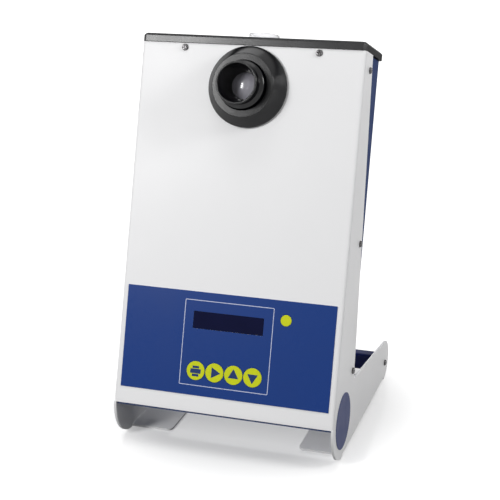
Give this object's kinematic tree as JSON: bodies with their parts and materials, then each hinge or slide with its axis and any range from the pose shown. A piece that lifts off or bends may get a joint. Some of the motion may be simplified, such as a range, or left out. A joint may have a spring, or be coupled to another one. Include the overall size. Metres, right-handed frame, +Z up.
{
  "type": "melting point apparatus",
  "caption": "Leaning bench instrument on two folded feet, with an eyepiece that looks onto a heated block for thin sample tubes, and a panel with display and keys.",
  "frame": {"origin": "on the bench under the middle of the outline, without tilt", "axes": "+Z up, +X to the right of someone who faces the panel, +Y to the back"},
  "size_m": [0.2042, 0.223, 0.3517],
  "materials": {
    "white_powder_coat": "white powder coat, fine texture, satin",
    "blue_powder_coat": "blue powder coat, satin",
    "navy_powder_coat": "navy powder coat, satin",
    "black_cap": "black moulded plastic, satin",
    "black_gloss": "black plastic, turned and polished",
    "blue_foil": "blue printed foil, satin",
    "blue_disc": "blue foil disc, satin",
    "key_yellow": "yellow-green, satin",
    "window": "dark display window, gloss",
    "clear_plastic": "frosted clear plastic",
    "glass": "clear glass",
    "steel": "stainless, machined",
    "aluminium": "bare machined",
    "ceramic": "cream insulating compound",
    "board_green": "green board, gloss resist",
    "black_part": "black moulded",
    "white_part": "white moulded",
    "copper_coil": "taped winding",
    "brass": "plain",
    "core_steel": "laminated core"
  },
  "bodies": {
    "instrument": {"front_cover": "white_powder_coat", "side_disc_right": "blue_disc", "side_disc_left": "blue_disc", "rear_housing": "blue_powder_coat", "top_cap": "black_cap", "draught_shield": "clear_plastic", "tube_guide": "white_part", "heating_block": "aluminium", "heater_cartridges": "steel", "temperature_sensor": "steel", "oven_sleeve": "ceramic", "oven_glass": "glass", "oven_bracket": "aluminium", "lamp_holder": "black_part", "lamp": "glass", "eyepiece_flange": "black_gloss", "eyepiece_nut": "black_part", "control_foil": "blue_foil", "display_window": "window", "key_guide": "black_part", "key_switches": "black_part", "display_bezel": "steel", "display_cell": "glass", "display_backlight": "white_part", "display_board": "board_green", "display_spacers": "brass", "front_board": "board_green", "front_pillars": "steel", "main_board": "board_green", "board_standoffs": "brass", "capacitors": "black_part", "heat_sink": "aluminium", "transformer_core": "core_steel", "transformer_coil": "copper_coil", "mains_inlet": "black_part", "inlet_pins": "brass", "switch_body": "black_part", "data_port": "steel", "port_nuts": "steel", "rear_crossbar": "navy_powder_coat", "bar_nuts": "steel", "face_screws": "steel", "side_screws": "steel", "foot_screws": "steel", "inlet_screws": "steel", "board_screws": "steel"},
    "eyepiece": {"eyepiece_tube": "black_gloss", "eye_lens": "glass", "lens_ring": "black_part"},
    "print_key": {"key_print": "key_yellow"},
    "start_key": {"key_start": "key_yellow"},
    "up_key": {"key_up": "key_yellow"},
    "down_key": {"key_down": "key_yellow"},
    "round_key": {"key_round": "key_yellow"},
    "drawer": {"fuse_drawer": "black_part", "fuses": "glass"},
    "rocker": {"power_rocker": "black_gloss"}
  },
  "joints": [
    {"name": "focus_slide", "type": "slide", "parent": "instrument", "child": "eyepiece", "axis": [0, -0.9563, 0.2924], "range_m": [0, 0.006]},
    {"name": "print_press", "type": "slide", "parent": "instrument", "child": "print_key", "axis": [0, 0.9563, -0.2924], "range_m": [0, 0.0005], "stiffness_N_per_m": 3000},
    {"name": "start_press", "type": "slide", "parent": "instrument", "child": "start_key", "axis": [0, 0.9563, -0.2924], "range_m": [0, 0.0005], "stiffness_N_per_m": 3000},
    {"name": "up_press", "type": "slide", "parent": "instrument", "child": "up_key", "axis": [0, 0.9563, -0.2924], "range_m": [0, 0.0005], "stiffness_N_per_m": 3000},
    {"name": "down_press", "type": "slide", "parent": "instrument", "child": "down_key", "axis": [0, 0.9563, -0.2924], "range_m": [0, 0.0005], "stiffness_N_per_m": 3000},
    {"name": "round_press", "type": "slide", "parent": "instrument", "child": "round_key", "axis": [0, 0.9563, -0.2924], "range_m": [0, 0.0005], "stiffness_N_per_m": 3000},
    {"name": "drawer_slide", "type": "slide", "parent": "instrument", "child": "drawer", "axis": [0, 0.9563, -0.2924], "range_m": [0, 0.016]},
    {"name": "rocker_turn", "type": "hinge", "parent": "instrument", "child": "rocker", "pos_m": [0.012, -0.03601, 0.07138], "axis": [1, 0, 0], "range_deg": [0, 20]}
  ]
}
